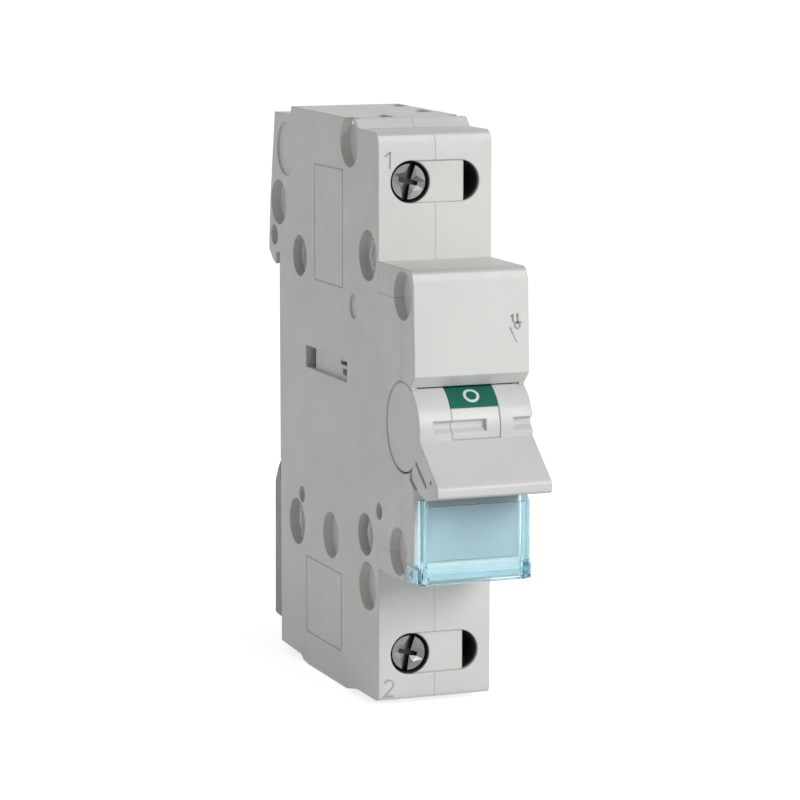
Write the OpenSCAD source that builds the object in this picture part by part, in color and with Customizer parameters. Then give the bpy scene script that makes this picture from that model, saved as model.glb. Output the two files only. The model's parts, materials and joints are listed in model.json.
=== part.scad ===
// One-pole DIN rail switch disconnector, one module wide.
// X runs across the module, -Y is the front with the lever, +Y is the rail side, +Z is up.
// The origin lies on the rail seat plane, level with the middle of the raised nose.

/* [Housing] */
// Width across both half shells
body_w = 17.5; // [17:0.1:18.5]
// Distance from the rail seat to the terminal fronts
terminal_front = 44; // [43:0.5:47]
// Distance from the rail seat to the foot of the nose's front
nose_front = 58.3; // [57.5:0.1:59.5]
// Height of the raised nose
nose_h = 45; // [44:0.5:46]
// Height of the housing's top above the nose's middle
top_z = 42.3; // [41.5:0.1:44]
// Depth of the housing's bottom below the nose's middle
bottom_z = 43.4; // [42.8:0.1:45]
// Thickness of the side walls
side_wall = 1.6; // [1.2:0.1:1.9]
// Thickness of the top, bottom, front and rear walls
edge_wall = 1.6; // [1.2:0.1:2]
// Depth of the round recesses in both sides
ring_depth = 1.4; // [1:0.1:1.6]

/* [Rail seat] */
// Height of the rail's centre line above the nose's middle
rail_z = 1.4; // [1:0.1:1.6]
// Height of the top hat rail
rail_h = 35; // [34.8:0.1:35.2]
// Width of the groove that takes the rail's flange
rail_groove = 1.55; // [1.3:0.05:2]
// Depth of the groove above the rail's upper edge
hook_play = 0.5; // [0.3:0.1:0.9]
// Overlap of the fixed hook over the rail's flange
hook_lap = 1.3; // [1:0.1:1.6]
// Distance the rail clip moves down to let the rail go
clip_travel = 4; // [3:0.1:4.5]

/* [Handle] */
// Distance from the rail seat to the handle's pivot
pivot_front = 53.8; // [53.4:0.1:54]
// Height of the pivot above the nose's middle
pivot_z = -0.2; // [-0.4:0.1:0.2]
// Radius of the handle's drum
drum_r = 6.4; // [6.2:0.1:6.6]
// Reach of the lever's tip from the pivot, towards the front
lever_reach = 13.4; // [12:0.1:14]
// Radius of the steel axle
axle_r = 1.1; // [1:0.05:1.2]
// Radius at which the crank pin sits
crank_r = 3.2; // [3:0.1:3.3]
// Angle through which the handle swings
swing = 70; // [60:1:70]

/* [Terminals] */
// Height of the upper screw
upper_z = 33.8; // [33.4:0.1:34]
// Depth of the lower screw
lower_z = 35.6; // [35.2:0.1:35.8]
// Distance of each screw from the parting plane
screw_x = 3.8; // [3.75:0.05:3.85]
// Radius of the rounded ends of the terminal slots
slot_r = 3.05; // [3:0.05:3.1]
// Radius of the screw heads
head_r = 2.75; // [2.6:0.05:2.8]
// Radius of the screw shanks
shank_r = 2; // [1.8:0.05:2.1]
// Width between the jaws of the open clamp cage
cage_travel = 4; // [3.6:0.1:4.2]

/* [Contacts] */
// Distance of each contact pair from the pivot's height
contact_z = 8; // [7:0.1:9]
// Radius of the contact tips
tip_r = 1.6; // [1.3:0.1:1.9]
// Thickness of each contact tip
tip_t = 0.6; // [0.4:0.1:0.8]

/* [Label flap] */
// Distance from the rail seat to the flap's front
flap_front = 60.5; // [60:0.1:61]
// Thickness of the flap's walls
flap_t = 0.8; // [0.7:0.1:1]

/* [Hidden] */
$fn = 48;
cut = 0.5;
run_gap = 0.05;
slide_gap = 0.15;
half_w = body_w / 2;
body_inner = half_w - side_wall;
front_y = -terminal_front;
nose_y = -nose_front;
nose_top = nose_h / 2;
pivot_y = -pivot_front;

// Extrudes an outline drawn in Y and Z across the module, from x0 to x1
module across(x0, x1) {
    translate([x0, 0, 0])
        rotate([90, 0, 90])
            linear_extrude(x1 - x0)
                children();
}

// Round bar along X, centred on the point y, z
module pin_x(y, z, r, x0, x1) {
    translate([x0, y, z])
        rotate([0, 90, 0])
            cylinder(h = x1 - x0, r = r);
}

// Round bar along Y, from y0 to y1
module pin_y(x, z, r, y0, y1) {
    translate([x, y1, z])
        rotate([90, 0, 0])
            cylinder(h = y1 - y0, r = r);
}

// Block between two opposite corners
module block(low, high) {
    translate(low)
        cube(high - low);
}

// Children, and their copy on the other side of the parting plane
module both_sides() {
    children();
    mirror([1, 0, 0])
        children();
}

// Points of an arc in the side view; angle 0 points to the front and 90 points up
function arc(y, z, r, from, to, steps = 8) = [
    for (i = [0:steps])
        let (a = from + (to - from) * i / steps)
            [y - r * cos(a), z + r * sin(a)]
];

// Sector of a ring in the side view, around the handle's pivot
module ring_sector(inner, outer, from, to) {
    reach = outer * 3;
    intersection() {
        translate([pivot_y, pivot_z])
            difference() {
                circle(r = outer);
                circle(r = inner);
            }
        polygon(concat([[pivot_y, pivot_z]], arc(pivot_y, pivot_z, reach, from, to)));
    }
}

// Spring coil along Z from 0 to h, with round wire
module coil(r, wire_r, h, turns) {
    linear_extrude(height = h, twist = -360 * turns, slices = 20 * turns)
        translate([r, 0])
            circle(r = wire_r, $fn = 8);
}

// Housing
seat_relief = 0.15;
jaw_lap = 2.6;
jaw_room = 0.3;
clip_jaw_z = rail_z - rail_h / 2 + jaw_lap;
groove_top = rail_z + rail_h / 2 + hook_play;
groove_mouth = rail_z + rail_h / 2 - hook_lap;
hook_t = 3.4;
front_top = top_z - 1.3;
front_bottom = bottom_z - 0.9;
rear_bottom = bottom_z - 1.2;
shoulder_y = front_y + 8.3;
edge_round = 1.6;
tongue_y = front_y - 9.5;
tongue_top = nose_top - 4.5;
tongue_bottom = 3.5 - nose_top;

// Handle's place between the bearing walls
cheek_t = 1.2;
cheek_gap = 0.2;
cheek_sink = 0.1;
bearing_t = 1.4;
cheek_out = half_w - cheek_sink;
cheek_in = cheek_out - cheek_t;
bearing_out = cheek_in - cheek_gap;
bearing_in = bearing_out - bearing_t;
drum_t = 1.2;
drum_gap = 0.25;
drum_top_angle = 66;
drum_low_angle = -75;
drum_play_angle = 8;

// Ribs inside the shells
guide_z = 3.1;
guide_t = 1.2;
guide_end_y = front_y + 11;
boss_rim = 0.6;
boss_depth = ring_depth + 1.2;
stop_reach = 8;

// Terminals and clamps
bar_t = 1.3;
bar_w = 4.3;
bar_front = front_y + 10.7;
bar_rear = bar_front + bar_t;
bar_seat_gap = 0.3;
cage_wall = 0.9;
cage_floor = 1.2;
cage_nut = 1.8;
cage_half = screw_x - 0.55;
cage_high = 4.2;
jaw_play = 0.8;
entry_gap = 0.2;
wire_low = bar_rear + entry_gap;
wire_high = bar_rear + cage_travel + jaw_play + entry_gap;
wire_half = 2.35;
chamber_gap = 0.7;
chamber_t = 1.2;
collar_y = front_y + 3;
collar_t = 1.4;
well_r = slot_r + 0.05;
slot_depth = 2;
slot_end_depth = 6;

// Rail clip's guide
clip_tongue = 3;
clip_flange = 5;
clip_flange_t = 1.4;
clip_top = clip_jaw_z - 4.5;
clip_bottom = 7 - rear_bottom;

// Switching stroke
stroke = crank_r * 2 * sin(swing / 2);
crank_y = pivot_y - crank_r * sin(swing / 2);
crank_z = pivot_z + crank_r * cos(swing / 2);
crank_pin_r = 0.7;
link_eye_r = 1.35;
link_len = 10;
link_end_y = crank_y + link_len;
carrier_front = link_end_y - 1.8;
carrier_step_y = link_end_y + 3.5;

// Round recesses in both sides: y, z, radius; the first list has a rivet in each
RIVETS = [[-7.9, -21.7, 3.6], [-38.5, -18.4, 3.15], [-39.6, 22.9, 3.7], [-9.6, 19.9, 3.15]];
DIMPLES = [
    [-23.4, -21.2, 3.5], [-39.4, -26, 3.6], [-31.8, 38.8, 3.7], [0.2, 27.3, 3.5],
    [-52.1, -18.5, 3.45], [-53.8, 18.6, 3.5]
];
rivet_r = 1.4;
rivet_head_r = 2.4;
rivet_head_t = 0.5;
rivet_sink = 0.3;

// Small round holes and faint mould circles in both sides: y, z, radius
HOLES = [[-10.2, -17.1, 1.25], [-44.2, -14, 1.25], [2.35, 22, 1.6]];
MOULD_CIRCLES = [[-3.2, 35.8, 4.1], [-33.6, 14.8, 1.8]];
hole_depth = 1.2;
mould_depth = 0.3;

// Window in the left side, with its slot and two small openings: y and z of two corners
WINDOW = [[-30.65, 3.1], [-12.3, 6.45]];
WINDOW_SLOTS = [[[-14.6, 3.1], [-12.3, 6.45]], [[-30.2, 5.2], [-25.8, 5.8]], [[-30.2, 3.75], [-26.7, 4.65]]];
window_depth = 0.8;

// Pockets in the top: two corners in X and Y, and the level of the top there
TOP_POCKETS = [
    [[-7.4, -31.8], [-1.45, -26.3], top_z],
    [[2, -23.8], [7.6, -18.4], top_z],
    [[4.9, -11.6], [8.2, -7], top_z],
    [[-3.8, -3.4], [3, 0.6], top_z - 1.1]
];
pocket_depth = 1.1;
pocket_r = 1;

module body_outline() {
    polygon([
        [-seat_relief, -rear_bottom],
        [-seat_relief, clip_jaw_z + jaw_room],
        [0, clip_jaw_z + jaw_room],
        [0, groove_mouth - jaw_room],
        [-seat_relief, groove_mouth - jaw_room],
        [-seat_relief, groove_top],
        [rail_groove, groove_top],
        [rail_groove, groove_mouth],
        [rail_groove + 0.25, groove_mouth - 0.1],
        [rail_groove + hook_t / 2, groove_mouth + 0.5],
        [rail_groove + hook_t, groove_mouth + 1.9],
        [rail_groove + hook_t, groove_mouth + 3.2],
        [rail_groove + hook_t - 0.6, groove_mouth + 9.6],
        [rail_groove + 0.4, top_z - 1.1],
        [-5.5, top_z - 1.1],
        [-5.9, top_z + 0.2],
        [shoulder_y + 1.5, top_z],
        [shoulder_y, front_top],
        [front_y + edge_round, front_top],
        [front_y + edge_round * 0.3, front_top - edge_round * 0.3],
        [front_y, front_top - edge_round],
        [front_y, 1 - front_bottom],
        [front_y + 0.3, 0.3 - front_bottom],
        [front_y + 1, -front_bottom],
        [shoulder_y + 0.9, -front_bottom],
        [shoulder_y + 5.7, -bottom_z],
        [-12.8, -bottom_z],
        [-10.4, 0.3 - bottom_z],
        [-9.5, -front_bottom],
        [-1.3, -rear_bottom]
    ]);
}

// Part of the nose that belongs to the half shells
module shell_tongue() {
    translate([tongue_y, tongue_bottom])
        square([front_y + 1 - tongue_y, tongue_top - tongue_bottom]);
}

// Hollow of the shells, with the terminal chambers and the hook left walled off
module shell_hollow() {
    polygon([
        [-edge_wall, edge_wall - rear_bottom],
        [-edge_wall, groove_top],
        [-edge_wall - 1, front_top - edge_wall],
        [front_y + edge_wall, front_top - edge_wall],
        [front_y + edge_wall, tongue_top - edge_wall],
        [tongue_y - cut, tongue_top - edge_wall],
        [tongue_y - cut, tongue_bottom + edge_wall],
        [front_y + edge_wall, tongue_bottom + edge_wall],
        [front_y + edge_wall, edge_wall - front_bottom],
        [shoulder_y + 1, edge_wall - front_bottom]
    ]);
}

// Bosses behind the round recesses of a list, in a node's side walls
module side_bosses(list) {
    both_sides()
        for (ring = list)
            pin_x(ring[0], ring[1], ring[2] + boss_rim, -half_w, boss_depth - half_w);
}

// Round recesses of one depth in both sides
module side_recesses(list, depth) {
    both_sides()
        for (ring = list)
            pin_x(ring[0], ring[1], ring[2], -half_w - cut, depth - half_w);
}

// Walls and ribs across the inside of the shells
module inner_walls() {
    // Floors of the terminal chambers
    for (z = [upper_z - cage_high - chamber_gap - chamber_t, cage_high + chamber_gap - lower_z])
        block([-half_w, front_y + 1, z], [half_w, bar_front - bar_seat_gap, z + chamber_t]);
    // Guides of the contact carrier; the upper one starts behind the carrier's head
    block(
        [-half_w, carrier_step_y + stroke + 0.8, guide_z + slide_gap],
        [half_w, guide_end_y, guide_z + slide_gap + guide_t]
    );
    block(
        [-half_w, carrier_front - cut, -guide_z - slide_gap - guide_t],
        [half_w, guide_end_y, -guide_z - slide_gap]
    );
    // Stops above and below the rail clip's tongue
    for (z = [clip_top + jaw_room, clip_bottom - clip_travel - jaw_room - guide_t])
        block([-half_w, -stop_reach, z], [half_w, -edge_wall, z + guide_t]);
    for (rivet = RIVETS)
        pin_x(rivet[0], rivet[1], rivet[2] + boss_rim, -half_w, half_w);
    side_bosses(DIMPLES);
}

// Recesses, holes and window in the sides
module side_features() {
    side_recesses(RIVETS, ring_depth);
    side_recesses(DIMPLES, ring_depth);
    side_recesses(HOLES, hole_depth);
    side_recesses(MOULD_CIRCLES, mould_depth);
    across(-half_w - cut, window_depth - half_w)
        translate(WINDOW[0])
            square(WINDOW[1] - WINDOW[0]);
    for (slot = WINDOW_SLOTS)
        across(-half_w - cut, cut - body_inner)
            translate(slot[0])
                square(slot[1] - slot[0]);
}

// Rounded pockets in the housing's top
module top_pockets() {
    for (pocket = TOP_POCKETS)
        translate([0, 0, pocket[2] - pocket_depth])
            linear_extrude(pocket_depth + cut)
                offset(r = pocket_r)
                    offset(delta = -pocket_r)
                        translate(pocket[0])
                            square(pocket[1] - pocket[0]);
}

// Spaces that run through both half shells
module shell_cuts() {
    for (rivet = RIVETS)
        pin_x(rivet[0], rivet[1], rivet_r + run_gap, -half_w - cut, half_w + cut);
    // Cheek recesses, the drum's path and the axle's bore
    both_sides()
        pin_x(pivot_y, pivot_z, drum_r + drum_gap, -half_w - cut, -bearing_out);
    across(-bearing_out - cut, bearing_out + cut)
        ring_sector(
            drum_r - drum_t - drum_gap, drum_r + drum_gap,
            drum_low_angle - drum_play_angle, drum_top_angle + swing + drum_play_angle / 2
        );
    pin_x(pivot_y, pivot_z, axle_r + run_gap, -half_w, half_w);
    // Rail clip's slot through the rear wall
    block(
        [-clip_tongue - slide_gap, -edge_wall - cut, clip_bottom - clip_travel - jaw_room],
        [clip_tongue + slide_gap, cut, clip_top + jaw_room]
    );
    // Conductor entries from above and below
    for (end = [[upper_z + 3, top_z + 1], [-bottom_z - 1, -lower_z - 3]])
        block([-screw_x - wire_half, wire_low, end[0]], [-screw_x + wire_half, wire_high, end[1]]);
}

// Screw wells, the slots on the terminal fronts and the collars that hold the screws
module terminal_front_cuts(z) {
    pin_y(-screw_x, z, well_r, front_y - cut, collar_y);
    pin_y(-screw_x, z, shank_r + run_gap, front_y, bar_front);
    pin_y(screw_x, z, slot_r, front_y - cut, front_y + slot_end_depth);
    block([-screw_x, front_y - cut, z - slot_r], [screw_x, front_y + slot_depth, z + slot_r]);
}

module screw_well(z) {
    pin_y(-screw_x, z, screw_x - run_gap, front_y + cut, collar_y + collar_t);
}

// Walls between the handle's cheeks and its drum, which carry the axle
module bearing_plates() {
    both_sides()
        across(-bearing_out, -bearing_in)
            union() {
                translate([tongue_y, tongue_bottom + 1])
                    square([front_y - 1 - tongue_y, tongue_top - tongue_bottom - 2]);
                translate([pivot_y, pivot_z])
                    circle(r = drum_r - drum_t - drum_gap);
            }
}

// Room for the cages, the bars and the moving contacts between the ribs
module mechanism_space() {
    for (z = [upper_z, -lower_z])
        block(
            [-screw_x - cage_half - slide_gap, collar_y + collar_t, z - cage_high - slide_gap],
            [-screw_x + cage_half + slide_gap, wire_high + cage_floor + jaw_room, z + cage_high + slide_gap]
        );
    block(
        [-body_inner + 1, carrier_front - cut, -guide_z - slide_gap],
        [body_inner - 1, leg_front + leg_t + cut, guide_z + slide_gap]
    );
    // Room beside the bars, where the side wall comes near
    for (run = [[upper_z, 1], [-lower_z, -1]])
        terminal_bar_path(run[0], run[1], slide_gap);
}

module both_shells() {
    difference() {
        union() {
            difference() {
                across(-half_w, half_w)
                    union() {
                        body_outline();
                        shell_tongue();
                    }
                across(-body_inner, body_inner)
                    shell_hollow();
            }
            intersection() {
                union() {
                    inner_walls();
                    screw_well(upper_z);
                    screw_well(-lower_z);
                }
                across(-half_w, half_w)
                    union() {
                        body_outline();
                        shell_tongue();
                    }
            }
            bearing_plates();
        }
        side_features();
        top_pockets();
        shell_cuts();
        terminal_front_cuts(upper_z);
        terminal_front_cuts(-lower_z);
        mechanism_space();
    }
}

half_space = 200;

module left_shell() {
    color("gainsboro")
        intersection() {
            both_shells();
            translate([-half_space, -half_space / 2, -half_space / 2])
                cube(half_space);
        }
}

module right_shell() {
    color("gainsboro")
        intersection() {
            both_shells();
            translate([0, -half_space / 2, -half_space / 2])
                cube(half_space);
        }
}

// Caps of the nose
hinge_y = nose_y + 2.3;
hinge_z = 1.35 - nose_top;
hinge_pin_r = 0.6;
ear_r = 1.3;
ear_t = 1.05;
ear_gap = 0.3;
ear_out = half_w - 0.05;
ear_in = ear_out - ear_t;
bevel_top = pivot_z + 7.7;
bevel_low = pivot_z + 5.9;
holder_top = pivot_z - 8.3;
holder_lip = 1.2;
cap_t = 1.5;
nose_round = 1.9;

module cover_outline() {
    polygon([
        [front_y, nose_top],
        [nose_y + nose_round, nose_top],
        [nose_y + nose_round / 2, nose_top - 0.5],
        [nose_y + 0.35, nose_top - nose_round],
        [nose_y - 0.2, bevel_top],
        [nose_y + 1.7, bevel_low],
        [tongue_y, bevel_low],
        [tongue_y, tongue_top],
        [front_y, tongue_top]
    ]);
}

module cover_hollow() {
    polygon([
        [front_y - cut, nose_top - cap_t],
        [nose_y + nose_round + cap_t / 2, nose_top - cap_t],
        [nose_y + cap_t + 0.3, bevel_top + 0.6],
        [nose_y + cap_t + 0.7, pivot_z],
        [tongue_y + cut, pivot_z],
        [tongue_y + cut, tongue_top - cut],
        [front_y - cut, tongue_top - cut]
    ]);
}

module holder_outline() {
    polygon([
        [front_y, tongue_bottom],
        [tongue_y, tongue_bottom],
        [tongue_y, pivot_z - drum_r / 2],
        [hinge_y - 0.4, pivot_z - drum_r / 2],
        [hinge_y - 0.6, holder_top + holder_lip],
        [nose_y, holder_top],
        [nose_y, hinge_z + ear_r],
        [nose_y + 0.7, hinge_z - 0.75],
        [nose_y + 1.7, 0.2 - nose_top],
        [nose_y + 3.5, -nose_top],
        [front_y, -nose_top]
    ]);
}

module holder_hollow() {
    polygon([
        [front_y - cut, cap_t - nose_top],
        [nose_y + 4, cap_t - nose_top],
        [nose_y + 3.6, hinge_z + 2.5],
        [nose_y + cap_t, hinge_z + 3],
        [nose_y + cap_t, holder_top - cap_t],
        [tongue_y + cut, holder_top - cap_t],
        [tongue_y + cut, tongue_bottom + cut],
        [front_y - cut, tongue_bottom + cut]
    ]);
}

// A cap: its outline hollowed between the side walls, with bosses behind the recesses
module cap() {
    difference() {
        union() {
            difference() {
                across(-half_w, half_w)
                    children(0);
                across(-body_inner, body_inner)
                    children(1);
            }
            intersection() {
                side_bosses(DIMPLES);
                across(-half_w, half_w)
                    children(0);
            }
        }
        pin_x(pivot_y, pivot_z, drum_r + drum_gap, -half_w - cut, half_w + cut);
        side_recesses(DIMPLES, ring_depth);
    }
}

module nose_cover() {
    color("gainsboro")
        cap() {
            cover_outline();
            cover_hollow();
        }
}

module label_holder() {
    room = ear_r + ear_gap;
    color("gainsboro")
        difference() {
            cap() {
                holder_outline();
                holder_hollow();
            }
            // Notches for the flap's ears, open to the front and below
            both_sides()
                across(-half_w - cut, slide_gap - ear_in)
                    union() {
                        translate([hinge_y, hinge_z])
                            circle(r = room);
                        translate([nose_y - cut, hinge_z - 3])
                            square([hinge_y - nose_y + cut, room + 3]);
                        translate([nose_y - cut, hinge_z - 3])
                            square([hinge_y - nose_y + cut + room, 3]);
                    }
            pin_x(hinge_y, hinge_z, hinge_pin_r + run_gap, -half_w, half_w);
        }
}

module housing_rivets() {
    head_out = half_w - ring_depth + rivet_head_t;
    color("silver")
        for (rivet = RIVETS) {
            pin_x(rivet[0], rivet[1], rivet_r, -head_out + rivet_sink, head_out - rivet_sink);
            both_sides()
                difference() {
                    pin_x(rivet[0], rivet[1], rivet_head_r, -head_out, ring_depth - half_w);
                    pin_x(rivet[0], rivet[1], rivet_r, -head_out - cut, rivet_sink - head_out);
                }
        }
}

// Light panel in the terminal slot beside the screw
insert_sink = 0.35;
insert_end = screw_x + 0.7;

module slot_insert(z) {
    color("whitesmoke")
        difference() {
            intersection() {
                block(
                    [-screw_x, front_y + insert_sink, z - slot_r],
                    [insert_end, front_y + slot_depth, z + slot_r]
                );
                union() {
                    block([-screw_x, front_y, z - slot_r], [screw_x, front_y + slot_depth, z + slot_r]);
                    pin_y(screw_x, z, slot_r, front_y, front_y + slot_depth);
                }
            }
            pin_y(-screw_x, z, well_r, front_y - cut, front_y + slot_depth + cut);
        }
}

module upper_slot_insert() {
    slot_insert(upper_z);
}

module lower_slot_insert() {
    slot_insert(-lower_z);
}

// Label card behind the flap
card_t = 0.5;
card_half = half_w - 1.75;

module label_card() {
    color("white")
        block([-card_half, nose_y - card_t, hinge_z + 2.2], [card_half, nose_y, holder_top - 0.6]);
}

// Bus bars
contact_gap = 0.05;
leg_front = guide_end_y + 12.2;
leg_t = 1.2;
bar_out = screw_x + bar_w / 2;
bar_drop = 3.1;
bar_rise = 3.6;
foot_lap = 2.5;

// Bent strip from the clamp to the fixed contact, grown by a gap; dir is 1 above and -1 below
module terminal_bar_path(z, dir, grow = 0) {
    run_z = z - dir * (cage_high + bar_drop);
    foot_z = pivot_z + dir * (contact_z - foot_lap);
    // Each strip: two corners in Y and Z, and its right edge
    strips = [
        [[bar_front, run_z], [bar_rear, z + dir * bar_rise], bar_w - bar_out],
        [[bar_front, run_z], [leg_front + leg_t, run_z + dir * bar_t], bar_w - bar_out],
        [[leg_front, run_z + dir * bar_t], [leg_front + leg_t, foot_z], bar_w - bar_out],
        [[leg_front, foot_z], [leg_front + leg_t, foot_z + dir * foot_lap * 2], bar_w / 2]
    ];
    for (s = strips)
        block(
            [-bar_out - grow, s[0][0] - grow, min(s[0][1], s[1][1]) - grow],
            [s[2] + grow, s[1][0] + grow, max(s[0][1], s[1][1]) + grow]
        );
}

module upper_terminal_bar() {
    color("peru")
        terminal_bar_path(upper_z, 1);
}

module lower_terminal_bar() {
    color("peru")
        terminal_bar_path(-lower_z, -1);
}

module fixed_contact_tips() {
    color("silver")
        for (dir = [-1, 1])
            pin_y(0, pivot_z + dir * contact_z, tip_r, leg_front - tip_t, leg_front);
}

// Terminal screws and cages
head_t = 2.2;
drive_depth = 1.1;
drive_w = 0.8;
drive_reach = 1.7;

// Captive clamp screw with a combined slot and cross drive
module terminal_screw(z) {
    head_front = collar_y - head_t;
    color("lightgray")
        difference() {
            union() {
                pin_y(-screw_x, z, head_r, head_front, collar_y - run_gap);
                pin_y(-screw_x, z, shank_r, collar_y - 2 * run_gap, bar_front - 2 * run_gap);
            }
            block(
                [-screw_x - head_r - cut, head_front - cut, z - drive_w / 2],
                [-screw_x + head_r + cut, head_front + drive_depth, z + drive_w / 2]
            );
            block(
                [-screw_x - drive_w / 2, head_front - cut, z - drive_reach],
                [-screw_x + drive_w / 2, head_front + drive_depth, z + drive_reach]
            );
        }
}

module upper_terminal_screw() {
    terminal_screw(upper_z);
}

module lower_terminal_screw() {
    terminal_screw(-lower_z);
}

// Rising clamp cage, open upwards and downwards for the conductor
module clamp_cage(z) {
    color("silver")
        difference() {
            block(
                [-screw_x - cage_half, bar_front - cage_nut - slide_gap, z - cage_high],
                [-screw_x + cage_half, wire_high + cage_floor, z + cage_high]
            );
            block(
                [-screw_x - cage_half + cage_wall, bar_front - slide_gap, z - cage_high - cut],
                [-screw_x + cage_half - cage_wall, wire_high, z + cage_high + cut]
            );
            pin_y(-screw_x, z, shank_r + run_gap, front_y, bar_front);
        }
}

module upper_clamp_cage() {
    clamp_cage(upper_z);
}

module lower_clamp_cage() {
    clamp_cage(-lower_z);
}

// Rail clip
clip_side_gap = 0.35;
clip_lip = 0.1;
clip_foot = 3.5 - rear_bottom;
clip_step_z = clip_jaw_z - 3;
clip_step = 1.15;
clip_out = 4.05;
clip_rib_pitch = 2;
clip_rib_w = 0.6;
clip_rib_depth = 0.6;
clip_ribs_end = clip_step_z - 5.5;
pull_half = 5;
pull_depth = 1.4;

// A jaw behind the rail's lower flange, a pull edge and a guided tongue
module rail_clip() {
    back = -edge_wall - slide_gap - clip_flange_t;
    color("darkgray")
        union() {
            difference() {
                across(clip_side_gap - half_w, half_w - clip_side_gap)
                    polygon([
                        [clip_lip, clip_foot],
                        [clip_lip, clip_step_z],
                        [clip_step, clip_step_z],
                        [clip_step, clip_jaw_z],
                        [clip_step + 1.1, clip_jaw_z - 1.2],
                        [clip_out - 0.3, clip_jaw_z - 3.6],
                        [clip_out, clip_foot + 0.2],
                        [clip_out / 2, clip_foot]
                    ]);
                // Upright grooves in the upper part and a finger pull in the lower one
                for (i = [-3:3])
                    block(
                        [i * clip_rib_pitch - clip_rib_w / 2, clip_out - clip_rib_depth, clip_ribs_end],
                        [i * clip_rib_pitch + clip_rib_w / 2, clip_out + cut, clip_step_z]
                    );
                block(
                    [-pull_half, clip_out - pull_depth, clip_foot + 2.5],
                    [pull_half, clip_out + cut, clip_ribs_end - 1.5]
                );
            }
            block([-clip_tongue, back, clip_bottom], [clip_tongue, clip_lip + 0.2, clip_top]);
            block([-clip_flange, back, clip_bottom], [clip_flange, back + clip_flange_t, clip_top]);
        }
}

// Handle
tip_y = pivot_y - lever_reach;
core_half = 3.65;
window_gap = 0.05;
lever_wall = 1.1;
lever_rib = 1.3;
grip_left = -6.5;
grip_mid = 1.55;
grip_right = 5.7;
grip_low = pivot_z - 0.7;
grip_high = pivot_z + 1.5;
grip_depth = 0.9;
side_groove_depth = 0.35;
side_groove_r = 0.35;

module lever_outline() {
    polygon([
        [pivot_y - drum_r + 0.3, pivot_z - 1],
        [tip_y + 0.9, pivot_z - 6],
        [tip_y + 0.2, pivot_z - 6.6],
        [tip_y, pivot_z - 7.1],
        [tip_y, pivot_z - 8.1],
        [tip_y + 0.4, pivot_z - 8.4],
        [tip_y + 4.4, pivot_z - 9.2],
        [tip_y + 7, pivot_z - 8.6],
        [tip_y + 9.8, pivot_z - 6.9],
        [tip_y + 10.2, pivot_z - 6],
        [pivot_y - 4.9, pivot_z - 4]
    ]);
}

// Groove along the lever's root: a flat roof with a floor that slopes out
module grip_groove() {
    polygon([
        [pivot_y - drum_r - 1, grip_high],
        [pivot_y - drum_r + grip_depth, grip_high],
        [pivot_y - drum_r + grip_depth, (grip_low + grip_high) / 2],
        [pivot_y - drum_r - 1, grip_low - 0.5]
    ]);
}

// Hollow under the lever, between its ribs
module lever_hollow() {
    polygon([
        [pivot_y - drum_r - 0.5, pivot_z - 6.5],
        [pivot_y - drum_r - 0.2, pivot_z - 3.8],
        [tip_y + 1.9, pivot_z - 7.6],
        [tip_y + 1.9, pivot_z - 10],
        [pivot_y - drum_r - 0.5, pivot_z - 10]
    ]);
}

// Long thin groove and a dot in the lever's left and right ends
module side_groove() {
    hull() {
        translate([tip_y + 8.3, pivot_z - 4.5])
            circle(r = side_groove_r);
        translate([tip_y + 4.6, pivot_z - 7.1])
            circle(r = side_groove_r);
    }
    translate([tip_y + 2.7, pivot_z - 6.3])
        circle(r = side_groove_r);
}

// One moulding: two cheeks, the drum's outer bands and the lever between them
module handle() {
    cell_w = (2 * (cheek_out - lever_wall) - 2 * lever_rib) / 3;
    color("whitesmoke")
        difference() {
            union() {
                both_sides()
                    pin_x(pivot_y, pivot_z, drum_r, -cheek_out, -cheek_in);
                across(-cheek_in - 0.1, cheek_in + 0.1)
                    ring_sector(drum_r - drum_t, drum_r, drum_low_angle + 15, drum_top_angle);
                across(-cheek_out, cheek_out)
                    lever_outline();
            }
            // Window for the core
            across(-core_half - window_gap, core_half + window_gap)
                union() {
                    ring_sector(crank_r - 1, drum_r + 1, -9, 100);
                    ring_sector(crank_r - 1, drum_r + window_gap, -130, 0);
                }
            for (i = [0:2])
                translate([lever_wall - cheek_out + i * (cell_w + lever_rib), 0, 0])
                    across(0, cell_w)
                        lever_hollow();
            across(grip_left, -core_half)
                grip_groove();
            across(grip_right, half_w)
                grip_groove();
            both_sides()
                across(-half_w, side_groove_depth - cheek_out)
                    side_groove();
        }
}

green_from = 30;
green_to = drum_top_angle;
red_from = -110;
red_to = -66;
band_t = 0.4;
core_r = drum_r - run_gap;
core_slot_half = 1.25;
core_slot_r = crank_r + link_eye_r + 0.45;
core_hub_r = crank_r + 1.5;
core_low_angle = -120;

// Drum that carries the colours and the crank for the drive link
module handle_core() {
    color("whitesmoke")
        union() {
            difference() {
                across(-core_half, core_half)
                    union() {
                        ring_sector(drum_r - drum_t - 0.2, core_r, core_low_angle, drum_top_angle);
                        translate([pivot_y, pivot_z])
                            circle(r = core_hub_r);
                        ring_sector(crank_r - 1, drum_r - drum_t, core_low_angle + 2, 30);
                    }
                across(-core_slot_half, core_slot_half)
                    translate([pivot_y, pivot_z])
                        circle(r = core_slot_r);
                across(-core_half - cut, core_half + cut)
                    union() {
                        ring_sector(core_r - band_t, drum_r + 1, green_from, green_to + 10);
                        ring_sector(core_r - band_t, drum_r + 1, red_from, red_to);
                    }
                across(-core_half - cut, grip_mid)
                    grip_groove();
                pin_x(pivot_y, pivot_z, axle_r, -half_w, half_w);
            }
            pin_x(crank_y, crank_z, crank_pin_r, -core_slot_half - run_gap, core_slot_half + run_gap);
        }
}

// Coloured field on the core, between two angles
module colour_band(from, to) {
    across(-core_half, core_half)
        ring_sector(core_r - band_t, core_r, from, to);
}

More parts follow.
